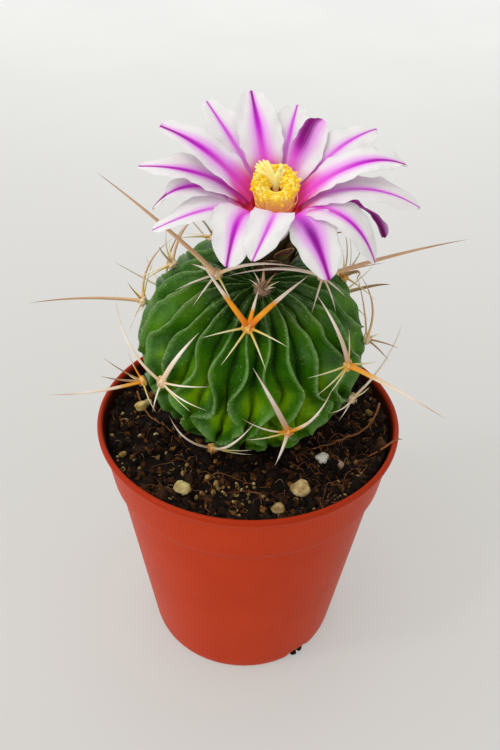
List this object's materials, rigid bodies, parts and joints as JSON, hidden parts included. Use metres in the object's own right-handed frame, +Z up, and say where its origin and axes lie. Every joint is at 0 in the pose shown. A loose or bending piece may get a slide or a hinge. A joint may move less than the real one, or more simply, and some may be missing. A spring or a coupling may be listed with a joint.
{
  "type": "potted round cactus",
  "caption": "Small round cactus with wavy ribs and long flat spines, carrying one large open striped flower, growing in a tapered round nursery pot full of soil.",
  "frame": {"origin": "centre of the pot's underside, on the surface it stands on", "axes": "+Z up along the pot's axis; -Y towards the viewer, the side the plant and its flower lean to; +X to the viewer's right"},
  "size_m": [0.0717, 0.0563, 0.1057],
  "materials": {
    "pot": "satin terracotta-red moulded plastic",
    "soil": "dry dark-brown potting mix with fibres",
    "skin": "waxy green plant skin, slightly glossy",
    "horn": "dry horny spines, cream with orange bases, and pale wool",
    "tube": "dull dark maroon and olive plant scales",
    "petal": "thin satin petals, white with a violet midstripe",
    "pollen": "soft yellow pollen-covered anthers on orange filaments",
    "stigma": "soft pale-yellow stigma lobes",
    "perlite": "rough white perlite",
    "grit": "rough tan grit"
  },
  "bodies": {
    "root": {"areole_back_1": "horn", "areole_back_10": "horn", "areole_back_2": "horn", "areole_back_3": "horn", "areole_back_4": "horn", "areole_back_5": "horn", "areole_back_6": "horn", "areole_back_7": "horn", "areole_back_8": "horn", "areole_back_9": "horn", "areole_crown_left": "horn", "areole_crown_right": "horn", "areole_foot": "horn", "areole_front_left": "horn", "areole_front_low": "horn", "areole_front_right": "horn", "areole_front_top": "horn", "areole_left": "horn", "areole_left_low": "horn", "areole_right": "horn", "areole_right_low": "horn", "cactus_body": "skin", "crown_tuft": "horn", "flower_tube": "tube", "grit_back": "grit", "grit_front": "grit", "grit_left": "grit", "grit_right": "grit", "grit_rim": "grit", "perlite_right": "perlite", "petal_01": "petal", "petal_02": "petal", "petal_03": "petal", "petal_04": "petal", "petal_05": "petal", "petal_06": "petal", "petal_07": "petal", "petal_08": "petal", "petal_09": "petal", "petal_10": "petal", "petal_11": "petal", "petal_12": "petal", "petal_13": "petal", "petal_14": "petal", "petal_15": "petal", "petal_16": "petal", "petal_17": "petal", "pistil": "stigma", "pot": "pot", "soil": "soil", "stamens": "pollen"}
  },
  "joints": []
}
